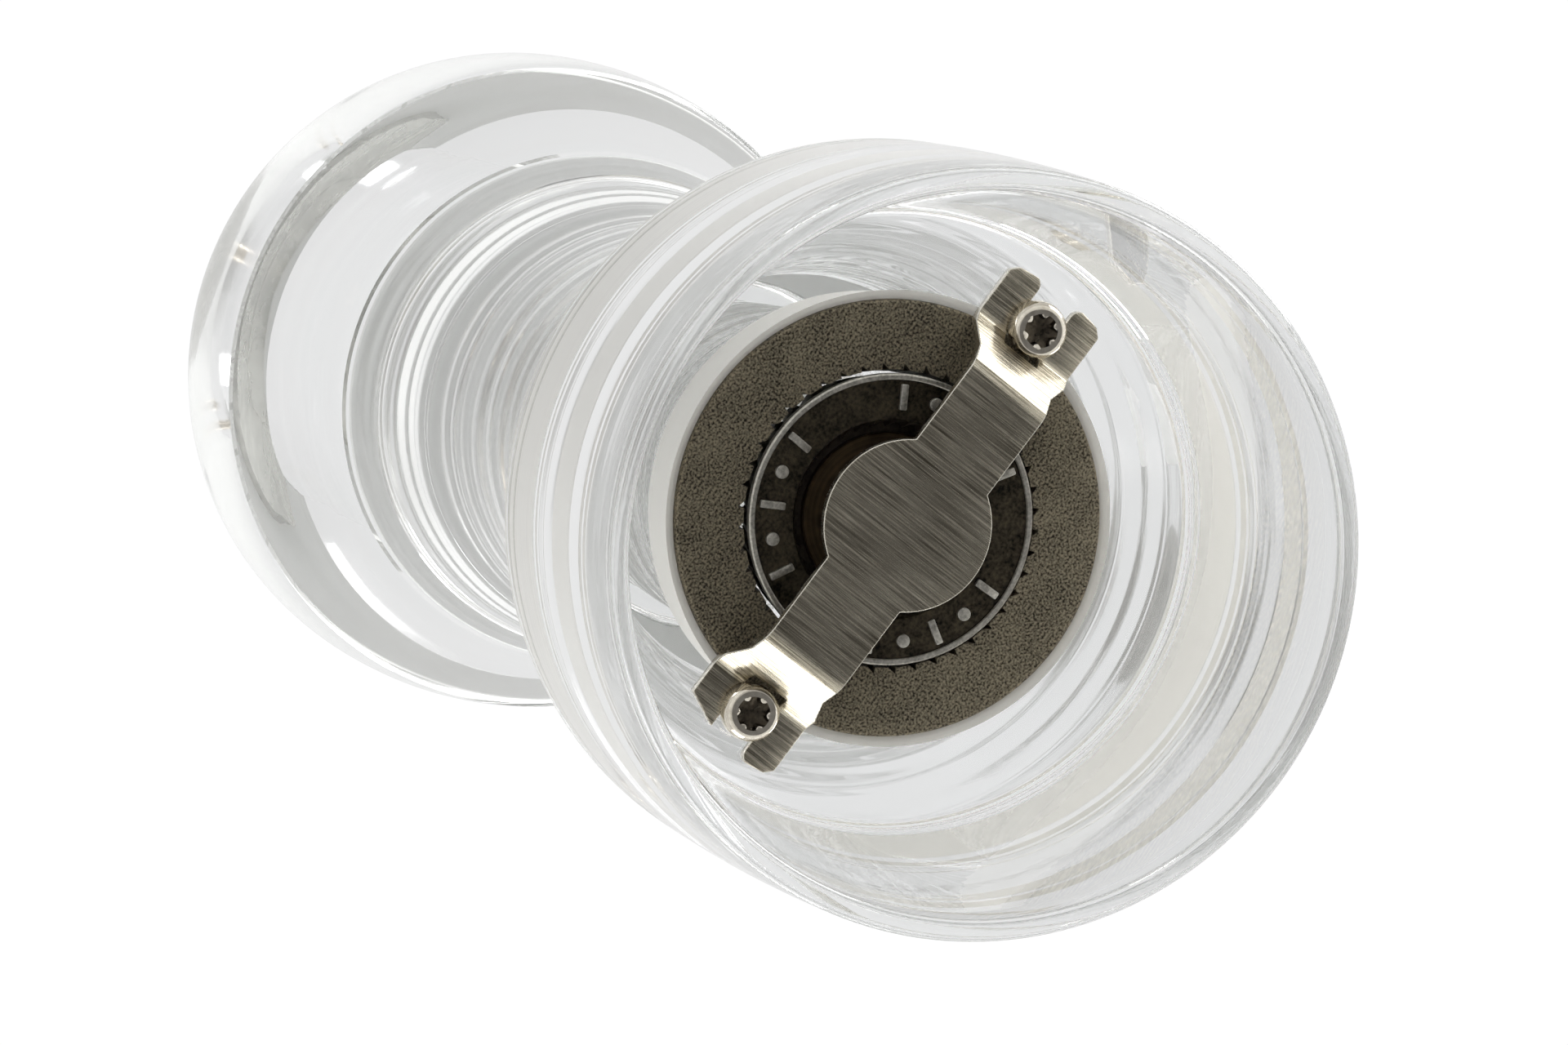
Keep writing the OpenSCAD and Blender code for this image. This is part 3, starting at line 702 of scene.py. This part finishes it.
@dataclass
class BurrSet:
    """Burr ring, rotating burr, and the washer and clip in the burr's recess."""

    mesh_r: float = 10.9
    tooth_depth: float = 0.48
    teeth: int = 44
    fine_h: float = 5.0
    lean: float = 0.1
    seat_play: float = 0.03
    rim_r: float = 10.65
    bead_w: float = 0.45
    rim_h: float = 0.8
    face_step: float = 0.3
    recess_r: float = 7.25
    recess_top: float = 28.8
    rotor_teeth: int = 36
    grooves: int = 7
    mark_r: float = 8.95
    bore_r: float = 3.7
    hub_r: float = 5.46
    washer_bore: float = 2.46
    ring: tuple[Vector, Vector] = field(default_factory=lambda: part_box("stator_ring"))
    burr: tuple[Vector, Vector] = field(default_factory=lambda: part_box("rotor_burr"))

    def ring_tooth(self, r: float, a: float, z: float) -> tuple[float, float, float]:
        """Cuts the ring's saw teeth: one steep flank and one long one."""
        pitch = math.tau / self.teeth
        quarter = round(a / pitch * 4) % 4
        tooth = round(a / pitch * 4) // 4
        angle = (tooth + (0.0, 0.04, 0.36, 0.7)[quarter]) * pitch
        height = z - self.ring[0].z / MM
        cut = quarter == 1 and r < self.mesh_r + 0.2 and height < self.fine_h + 0.1
        depth = self.tooth_depth * (1 - 0.25 * height / self.fine_h)
        return (r + depth if cut else r), angle, z

    def build_ring(self) -> None:
        """Makes the fixed ring."""
        low, high = self.ring[0].z / MM, self.ring[1].z / MM
        seat = self.ring[1].x / MM - self.seat_play
        top_r = self.mesh_r - self.lean * self.fine_h
        profile = [(self.mesh_r, low + 0.02)]
        profile += [(self.mesh_r + 0.5, low), (self.mesh_r + 2.5, low), (seat - 1.5, low)]
        profile += arc((seat - 0.25, low + 0.25), 0.25, -90, 0, 4)
        profile += arc((seat - 0.25, high - 0.25), 0.25, 0, 90, 4)
        profile += [(top_r + 1.2, high), (top_r, high - 2)]
        profile += run(lambda z: self.mesh_r - self.lean * (z - low), low + self.fine_h, low + 1, 1)
        bm = spun(profile, self.teeth * 4)
        reshape(bm, self.ring_tooth)
        bmesh.ops.recalc_face_normals(bm, faces=bm.faces)
        finished(
            "burr_ring_sintered", bm, [SINTERED.material()], "mill_body", "stator_ring",
        )

    def rotor_cut(self, r: float, a: float, z: float) -> tuple[float, float, float]:
        """Cuts the burr's fine teeth and its slanting feed grooves."""
        low = self.burr[0].z / MM
        up = z - low - self.rim_h
        if up <= 0.001 or r < 5 or z > self.burr[1].z / MM - 0.6:
            return r, a, z
        if up < self.fine_h:
            phase = (a * self.rotor_teeth / math.tau - up * 0.12) % 1.0
            return r - 0.5 * max(0.0, 1 - phase * 1.6), a, z
        phase = (a * self.grooves / math.tau - up * 0.07) % 1.0
        return r - 1.3 * max(0.0, 1 - phase * 2.4), a, z

    def marks(self, low: float) -> bmesh.types.BMesh:
        """Raised bars and studs, three groups of five."""
        bm = bmesh.new()
        height = self.face_step + 0.1
        for group in range(3):
            for i in range(-2, 3):
                one = bmesh.new()
                if i % 2 == 0:
                    bmesh.ops.create_cube(one, size=1.0)
                    shape = Matrix.Diagonal((1.9, 0.56, height, 1.0))
                else:
                    bmesh.ops.create_cone(
                        one, cap_ends=True, segments=32, radius1=0.5, radius2=0.5, depth=1.0
                    )
                    shape = Matrix.Diagonal((1.0, 1.0, height, 1.0))
                bmesh.ops.transform(one, matrix=shape, verts=one.verts)
                soften(one, 0.09, 40)
                turn = Matrix.Rotation(math.radians(120 * group + 16 * i), 4, "Z")
                added(bm, one, turn @ Matrix.Translation((self.mark_r, 0, low + height / 2)))
        return bm

    def build_rotor(self) -> None:
        """Makes the rotating burr with its bright marks."""
        low, high = self.burr[0].z / MM, self.burr[1].z / MM
        face = low + self.face_step
        bead = self.rim_r - self.bead_w
        fine_top = low + self.rim_h + self.fine_h
        cone_r = self.rim_r - self.lean * self.fine_h
        slope = (self.hub_r - cone_r) / (high - 1 - fine_top)
        profile = [(self.bore_r, self.recess_top), (self.recess_r - 0.3, self.recess_top)]
        profile += [(self.recess_r - 0.05, face + 0.2), (self.recess_r + 0.1, face), (8.0, face)]
        profile += [(bead - 0.06, face), (bead, face - 0.08), (bead + 0.03, low + 0.06)]
        profile += [(bead + 0.1, low), (self.rim_r - 0.12, low), (self.rim_r, low + 0.12)]
        profile += [(self.rim_r, low + self.rim_h)]
        profile += run(lambda z: self.rim_r - 0.1 - self.lean * (z - low - self.rim_h),
                       low + self.rim_h + 0.05, fine_top, 0.7)
        profile += run(lambda z: cone_r + slope * (z - fine_top), fine_top + 0.2, high - 1, 0.7)
        profile += [(self.hub_r, high - 0.1), (self.hub_r - 0.1, high), (self.bore_r, high)]
        bm = spun(profile, self.rotor_teeth * 6)
        reshape(bm, self.rotor_cut)

        def finish_of(r: float, z: float) -> int:
            """Which finish a face has: 0 burnished, 1 worn bright, 2 stained by oil."""
            if r < self.recess_r + 0.02:
                return 2
            return 1 if r > bead - 0.02 and z < low + 1 else 0

        paint(bm, finish_of)
        studs = self.marks(low)
        for part in studs.faces:
            part.material_index = 1
        added(bm, studs)
        materials = [BURNISHED.material(), WORN.material(), OILED.material()]
        finished("burr_cone", bm, materials, "spindle", "rotor_burr")

    def build_recess(self) -> None:
        """Makes the washer and the open snap ring under the burr."""
        plain_ring("recess_washer", "rotor_washer", self.washer_bore, "spindle", BRONZE)
        clip = from_cad("shaft_clip")
        soften(clip, 0.08)
        finished("snap_ring", clip, [CLIPPED.material()], "spindle", "shaft_clip")

    def build(self) -> None:
        """Makes the whole burr set."""
        self.build_ring()
        self.build_rotor()
        self.build_recess()


def plain_ring(name: str, node: str, bore: float, body: str, finish: Finish) -> None:
    """Makes a turned washer or sleeve with broken edges, as large as its node.

    Args:
        name: Name of the piece.
        node: The node that it stands for.
        bore: Radius of its bore.
        body: The body it rides on.
        finish: Its finish.
    """
    low, high = (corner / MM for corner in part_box(node))
    edge = min(0.12, (high.z - low.z) / 4)
    outer = high.x
    low.z += AIR_FILM
    high.z -= AIR_FILM
    profile = [(bore, low.z + edge), (bore + edge, low.z), (outer - edge, low.z)]
    profile += [(outer, low.z + edge), (outer, high.z - edge), (outer - edge, high.z)]
    profile += [(bore + edge, high.z), (bore, high.z - edge)]
    finished(name, spun(profile, 96), [finish.material()], body, node)


@dataclass
class Bracket:
    """The joggled stainless strip that keeps the burrs in the foot."""

    name: str = "bracket_strip"
    edge_round: float = 0.16

    def build(self) -> None:
        """Makes the strip, its sheared edges coloured brighter than its brushed faces, partly as a
        painted highlight.
        """
        bm = from_cad("retaining_bracket")
        topped(bm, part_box("retaining_bracket")[1].z / MM)
        soften(bm, self.edge_round, 50, 3)
        for face in bm.faces:
            # Side faces get the brighter finish: partly the sheared edge's own finish, partly a
            # painted highlight
            sheared_with_highlight = abs(face.normal.z) < 0.35 or abs(face.normal.y) > 0.3
            face.material_index = 1 if sheared_with_highlight else 0
        finished(
            self.name, bm, [BRUSHED.material(), SHEARED_WITH_HIGHLIGHT.material()], "mill_body",
            "retaining_bracket",
        )


@dataclass
class Drive:
    """Shaft, guide, spring and its seats, and the plate that drives the shaft."""

    thread_r: float = 2.0
    thread_pitch: float = 0.7
    thread_depth: float = 0.28
    thread_low: float = 161.7
    wire_r: float = 0.45
    coil_r: float = 4.41
    active_turns: float = 4.0
    closed_turns: float = 0.65
    wire_sides: int = 14
    turn_steps: int = 40
    seat_bore: float = 3.66
    shoulder_z: float = ClearBody.shoulder_z
    chamber_r: float = ClearBody.chamber_r
    seat_r: float = ClearBody.seat_r

    def thread(self, r: float, a: float, z: float) -> tuple[float, float, float]:
        """Cuts the thread's helical groove."""
        if r < self.thread_r - 0.001:
            return r, a, z
        phase = (z / self.thread_pitch - a / math.tau) % 1.0
        return r - self.thread_depth * abs(2 * phase - 1), a, z

    def build_shaft(self) -> None:
        """Makes the square shaft with its threaded top."""
        bm = from_cad("shaft")
        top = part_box("shaft")[1].z / MM
        thin = [v for v in bm.verts if v.co.z > self.thread_low - 0.3]
        bmesh.ops.delete(bm, geom=thin, context="VERTS")
        bmesh.ops.holes_fill(bm, edges=[e for e in bm.edges if e.is_boundary], sides=0)
        bmesh.ops.recalc_face_normals(bm, faces=bm.faces)
        soften(bm, 0.15, 50)
        profile = [(0.0, self.thread_low - 0.8)]
        profile += run(lambda z: self.thread_r, self.thread_low - 0.8, top - 0.5, 0.07)
        profile += [(1.5, top), (0.0, top)]
        rod = spun(profile, 40, closed=False)
        reshape(rod, self.thread)
        added(bm, rod)
        finished("shaft_bar", bm, [DRAWN.material()], "spindle", "shaft")

    def build_spring(self) -> None:
        """Winds the spring: a closed end, the working turns and the other closed end."""
        low, high = (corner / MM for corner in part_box("spring"))
        bm = bmesh.new()
        made = bmesh.ops.create_circle(
            bm, cap_ends=False, segments=self.wire_sides, radius=self.wire_r,
            matrix=Matrix.Translation((self.coil_r, 0, low.z + self.wire_r))
            @ Matrix.Rotation(math.radians(90), 4, "X"),
        )
        ends = made["verts"]
        last = ends + list({e for v in ends for e in v.link_edges})
        rise = high.z - low.z - 2 * self.wire_r
        for turns, climb in (
            (self.closed_turns, 0.0), (self.active_turns, rise), (self.closed_turns, 0.0)
        ):
            steps = round(turns * self.turn_steps)
            last = bmesh.ops.spin(
                bm, geom=last, cent=ORIGIN, axis=AXIS, dvec=(0, 0, climb / steps),
                angle=math.tau * turns, steps=steps, use_merge=False, use_duplicate=False,
            )["geom_last"]
        bmesh.ops.holes_fill(bm, edges=[e for e in bm.edges if e.is_boundary], sides=0)
        bmesh.ops.recalc_face_normals(bm, faces=bm.faces)
        spring = finished("spring_wire", bm, [WIRE.material()], None, "spring")
        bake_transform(spring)

    def build(self) -> None:
        """Makes the drive's pieces."""
        self.build_shaft()
        self.build_spring()
        plain_ring("lower_seat", "spring_seat_lower", self.seat_bore, "thrust_seat", DRAWN)
        plain_ring("upper_seat", "spring_seat_upper", self.seat_bore, "mill_body", DRAWN)
        guide = from_cad("shaft_guide")
        topped(guide, self.shoulder_z, self.chamber_r)
        reshape(guide, lambda r, a, z: (min(r, self.seat_r - AIR_FILM), a, z))
        soften(guide, 0.2)
        finished("guide_spider", guide, [NYLON.material()], "mill_body", "shaft_guide")
        plate = from_cad("drive_plate")
        topped(plate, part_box("drive_plate")[1].z / MM)
        soften(plate, 0.1, 50)
        finished("drive_disc", plate, [DRAWN.material()], "head", "drive_plate")


@dataclass
class Head:
    """The clear turned head with its bush and the slip ring under it.

    The holes of the drive plate's screws are left out, as in the body.
    """

    edge: Point = ClearBody.head_edge
    widest: Point = (27.5, 150.2)
    crown_h: float = 20.0
    socket: Point = (14.7, 129.0)
    bush_r: float = 3.06
    bush_l: float = 6.0
    bush_bore: float = 2.06
    shaft_hole_r: float = 4.14
    flange: Point = (5.06, 0.8)
    slip_bore: float = 14.8
    steps: int = 180
    low: Vector = field(default_factory=lambda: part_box("head")[0] / MM)
    high: Vector = field(default_factory=lambda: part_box("head")[1] / MM)

    def crown(self, t: float) -> Point:
        """Point of the crown, t running from 0 at the widest circle to 1 at the top."""
        return self.widest[0] * (1 - t**3) ** (1 / 3), self.widest[1] + self.crown_h * t

    def outside(self, cove: Callable[[float], float]) -> list[Point]:
        """Profile from the joint up the cove, over the bulge and the crown."""
        bulge = self.widest[1] - self.edge[1]
        wall = lambda z: cove(z) + ripple(z, 0.012)
        profile = [(cove(self.low.z) - 0.2, self.low.z)]
        profile += run(wall, self.low.z + 0.2, self.edge[1] - 0.1, 0.8)
        profile += [(self.edge[0] + 0.25, self.edge[1] + 0.1)]
        for i in range(1, 11):
            t = 1 - i / 10
            profile.append((self.widest[0] - 0.65 * t * t, self.widest[1] - bulge * t))
        parts = [math.sin(math.radians(90 * i / 34)) for i in range(1, 34)]
        profile += [self.crown(t) for t in parts if self.crown(t)[0] > self.flange[0] + 0.8]
        return profile + [(self.flange[0] + 0.5, self.high.z)]

    def inside(self) -> list[Point]:
        """Profile down the bush's hole and the shaft's hole, and out over the socket."""
        profile = [(self.bush_r + 0.02, self.high.z), (self.bush_r + 0.02, self.high.z - self.bush_l)]
        profile += [(self.shaft_hole_r, self.high.z - self.bush_l)]
        hole = lambda z: self.shaft_hole_r + ripple(z, 0.02)
        profile += run(hole, self.high.z - self.bush_l - 0.6, self.socket[1] + 0.6, 0.8)
        profile += [(self.shaft_hole_r, self.socket[1]), (self.socket[0] - 0.3, self.socket[1])]
        profile += [(self.socket[0], self.socket[1] - 0.3)]
        return profile + [(self.socket[0], self.low.z + 0.3), (self.socket[0] + 0.3, self.low.z)]

    def build(self, cove: Callable[[float], float]) -> None:
        """Makes the head, its bush and the slip ring.

        Args:
            cove: Radius of the cove that body and head share.
        """
        bm = spun(self.outside(cove) + self.inside(), self.steps)
        paint(bm, lambda r, z: 1 if r < self.socket[0] + 0.05 and z < self.high.z - 0.1 else 0)
        finished("head_acrylic", bm, [POLISHED.material(), BORED.material()], "head", "head")
        top = self.high.z
        reach, rise = self.flange
        bush = spun([
            (self.bush_bore, top - self.bush_l + 0.2), (self.bush_bore + 0.2, top - self.bush_l),
            (self.bush_r, top - self.bush_l), (self.bush_r, top + 0.01), (reach, top + 0.01),
            (reach, top + rise - 0.2), (reach - 0.2, top + rise),
            (self.bush_bore + 0.2, top + rise), (self.bush_bore, top + rise - 0.2),
        ])
        finished("bush_flanged", bush, [DRAWN.material()], "head", "head_bush")
        plain_ring("joint_ring", "slip_ring", self.slip_bore, "slip_ring", NYLON)


@dataclass
class Knob:
    """The adjusting knob with its insert, rubber ring and washer."""

    flutes: int = 24
    flute_depth: float = 0.25
    seal_r: float = 5.36
    seal_section: float = 1.4
    insert_r: float = 3.36
    thread_r: float = 2.05
    rod_r: float = 2.4
    rod_top: float = 181.2
    washer_bore: float = 2.06
    low: Vector = field(default_factory=lambda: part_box("knob")[0] / MM)
    high: Vector = field(default_factory=lambda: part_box("knob")[1] / MM)

    def flute(self, r: float, a: float, z: float) -> tuple[float, float, float]:
        """Cuts the grip's flutes, fading out at both ends."""
        if r < self.high.x - 0.9:
            return r, a, z
        above, below = z - self.low.z - 2.9, self.high.z - 2.0 - z
        fade = min(1.0, max(0.0, above / 0.8), max(0.0, below / 0.8))
        wave = 0.5 + 0.5 * math.cos(self.flutes * a)
        return r - self.flute_depth * 2 * fade * wave**2, a, z

    def build(self) -> None:
        """Makes the knob and what sits in it and under it."""
        low, top, r = self.low.z, self.high.z, self.high.x
        half = self.seal_section * 0.55
        roof = low + self.seal_section
        profile = [(self.insert_r, low), (self.seal_r - half, low), (self.seal_r - half, roof)]
        profile += [(self.seal_r + half, roof), (self.seal_r + half, low), (r - 1.6, low)]
        profile += arc((r - 1.5, low + 0.3), 0.3, -60, 0, 3)
        profile += [(r - 1.2, low + 2.1), (r - 0.15, low + 3.0)]
        profile += run(lambda z: r, low + 3.2, top - 2.0, 0.5)
        profile += arc((r - 1.5, top - 1.9), 1.5, 10, 80, 7)
        profile += [(r - 2.6, top - 0.26), (r * 0.4, top - 0.06), (0.0, top), (0.0, self.rod_top)]
        profile += [(self.rod_r, self.rod_top), (self.rod_r, low + 7.1), (self.insert_r, low + 7.1)]
        bm = spun(profile, self.flutes * 8)
        reshape(bm, self.flute)
        finished("knob_turned", bm, [TURNED.material()], "knob", "knob")
        plain_ring("insert_brass", "knob_insert", self.thread_r, "knob", BRASS)
        plain_ring("washer_nylon", "knob_washer", self.washer_bore, "head", NYLON)
        centre = (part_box("knob_o_ring")[0].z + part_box("knob_o_ring")[1].z) / 2 / MM
        seal = spun(arc((self.seal_r, centre), self.seal_section / 2, 0, 345, 23), 96)
        finished("seal_rubber", seal, [RUBBER.material()], "knob", "knob_o_ring")


# ---- Studio ----


@dataclass
class Studio:
    """Floor, light tent and camera."""

    camera_at: tuple[float, float, float] = (-56.47, -187.17, -662.43)
    right: tuple[float, float, float] = (0.5995, 0.762, -0.2449)
    up: tuple[float, float, float] = (0.7971, -0.596, 0.0969)
    back: tuple[float, float, float] = (-0.0721, -0.2533, -0.9647)
    lens: float = 226.35
    floor_size: float = 3000.0
    floor_hole: float = 27.9
    floor_drop: float = 0.05
    # The camera and its stand fill one opening in the tent, which the metal faces reflect
    opening: tuple[float, float, float] = (0.072, 0.253, -0.965)
    # Light of the tent, from the far side of that opening to its middle
    tent: tuple[tuple[float, float], ...] = (
        (0.0, 0.84), (0.2, 0.82), (0.4, 0.74), (0.5, 1.1),
        (0.65, 0.6), (0.88, 0.6), (0.935, 0.22), (1.0, 0.2),
    )
    backdrop: float = 1.02
    bounces: int = 64

    def build_camera(self) -> None:
        """Sets the camera below the foot, looking up along the mill."""
        data = bpy.data.cameras.new("camera")
        data.lens = self.lens
        data.sensor_width = 36.0
        data.clip_start, data.clip_end = 0.01, 50.0
        camera = bpy.data.objects.new("camera", data)
        place = Matrix((self.right, self.up, self.back)).transposed().to_4x4()
        place.translation = Vector(self.camera_at) * MM
        camera.matrix_world = place
        bpy.context.scene.collection.objects.link(camera)
        bpy.context.scene.camera = camera

    def build_tent(self) -> None:
        """Lights the mill from a white tent that is darker towards the camera, below."""
        world = bpy.data.worlds.new("light_tent")
        world.use_nodes = True
        tree = world.node_tree
        tree.nodes.clear()
        way = add_node(tree, "ShaderNodeTexCoord").outputs["Generated"]
        towards = add_node(
            tree, "ShaderNodeVectorMath", {"operation": "DOT_PRODUCT"}, i0=way, i1=self.opening
        ).outputs["Value"]
        share = add_node(
            tree, "ShaderNodeMapRange", Value=towards, From_Min=-1, From_Max=1, To_Min=0, To_Max=1
        ).outputs[0]
        ramp = add_node(tree, "ShaderNodeValToRGB", Fac=share)
        stops = ramp.color_ramp.elements
        # The ramp comes with stops at 0 and 1, and sorts itself whenever one is added or moved
        for at, _ in self.tent[1:-1]:
            stops.new(at)
        for stop, (_, level) in zip(stops, self.tent):
            stop.color = (level, level, level, 1.0)
        glow = add_node(tree, "ShaderNodeBackground", Color=ramp.outputs["Color"], Strength=1.0)
        plain = add_node(
            tree, "ShaderNodeBackground", Color=(1.0, 1.0, 1.0, 1.0), Strength=self.backdrop
        )
        seen = add_node(tree, "ShaderNodeLightPath").outputs["Is Camera Ray"]
        lit = add_node(tree, "ShaderNodeMixShader", i0=seen, i1=glow.outputs[0], i2=plain.outputs[0])
        add_node(tree, "ShaderNodeOutputWorld", Surface=lit.outputs[0])
        bpy.context.scene.world = world
        bpy.context.scene.view_settings.view_transform = "Standard"

    def let_light_through(self) -> None:
        """Lets light bounce often enough to find its way out of a solid acrylic wall."""
        paths = bpy.context.scene.cycles
        paths.max_bounces = self.bounces
        paths.transmission_bounces = self.bounces
        paths.glossy_bounces = self.bounces // 2

    def build_floor(self) -> None:
        """Lays a pale floor under the foot, open where the mill is looked into from below."""
        bm = bmesh.new()
        ring = [(r, -self.floor_drop) for r in (self.floor_hole, 60.0, self.floor_size)]
        added(bm, spun(ring, 96, closed=False))
        bmesh.ops.transform(bm, matrix=Matrix.Scale(MM, 4), verts=bm.verts)
        if sum(face.normal.z for face in bm.faces) < 0:
            bmesh.ops.reverse_faces(bm, faces=bm.faces)
        mesh = bpy.data.meshes.new("floor")
        bm.to_mesh(mesh)
        bm.free()
        material, tree = new_tree("painted_board_pale")
        tone = noise(tree, pattern_place(tree, Grain.EVEN), 60.0)
        paint_colour = add_node(
            tree, "ShaderNodeMix", {"data_type": "RGBA"},
            i0=tone, i6=linear("F1F1EF"), i7=linear("F6F6F4"),
        ).outputs[2]
        board = add_node(tree, "ShaderNodeBsdfPrincipled", Base_Color=paint_colour, Roughness=0.7)
        back = add_node(tree, "ShaderNodeNewGeometry").outputs["Backfacing"]
        gone = add_node(tree, "ShaderNodeBsdfTransparent")
        shown = add_node(tree, "ShaderNodeMixShader", i0=back, i1=board.outputs[0], i2=gone.outputs[0])
        add_node(tree, "ShaderNodeOutputMaterial", Surface=shown.outputs[0])
        mesh.materials.append(material)
        floor = bpy.data.objects.new("floor", mesh)
        bpy.context.scene.collection.objects.link(floor)

    def build_lights(self) -> None:
        """Hangs three softboxes that draw the highlights on metal and acrylic."""
        boxes = (
            ("softbox_left", (-0.75, 0.2, 0.17), 0.4, 5.0),
            ("softbox_right", (0.72, 0.2, 0.28), 0.4, 5.0),
            ("softbox_low", (0.35, -0.5, -0.25), 0.12, 0.8),
        )
        middle = Vector((0, 0, 0.06))
        for name, spot, size, power in boxes:
            data = bpy.data.lights.new(name, "AREA")
            data.shape = "RECTANGLE"
            data.size, data.size_y = size, size * 1.6
            data.energy = power
            lamp = bpy.data.objects.new(name, data)
            aim = (middle - Vector(spot)).to_track_quat("-Z", "Y")
            lamp.matrix_world = Matrix.Translation(spot) @ aim.to_matrix().to_4x4()
            lamp.visible_camera = False
            bpy.context.scene.collection.objects.link(lamp)

    def build(self) -> None:
        """Makes the studio."""
        self.build_camera()
        self.build_tent()
        self.let_light_through()
        self.build_floor()
        self.build_lights()


def main() -> None:
    """Builds the mill's sub-assemblies in order, then the studio."""
    logging.basicConfig(level=logging.INFO, format="%(message)s")
    body = ClearBody()
    body.build()
    BurrSet().build()
    Bracket().build()
    PanScrews(
        "screws_bracket", "bracket_screws", "mill_body",
        ((body.screw_r, 0.0), (-body.screw_r, 0.0)), 9.0,
    ).build()
    Drive().build()
    plate_screw_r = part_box("drive_plate_screws")[1].y / MM - PanScrews.head_d / 2
    PanScrews(
        "screws_drive_plate", "drive_plate_screws", "head",
        ((0.0, plate_screw_r), (0.0, -plate_screw_r)), 8.0,
    ).build()
    Head().build(body.cove)
    Knob().build()
    Studio().build()


if __name__ == "__main__":
    main()
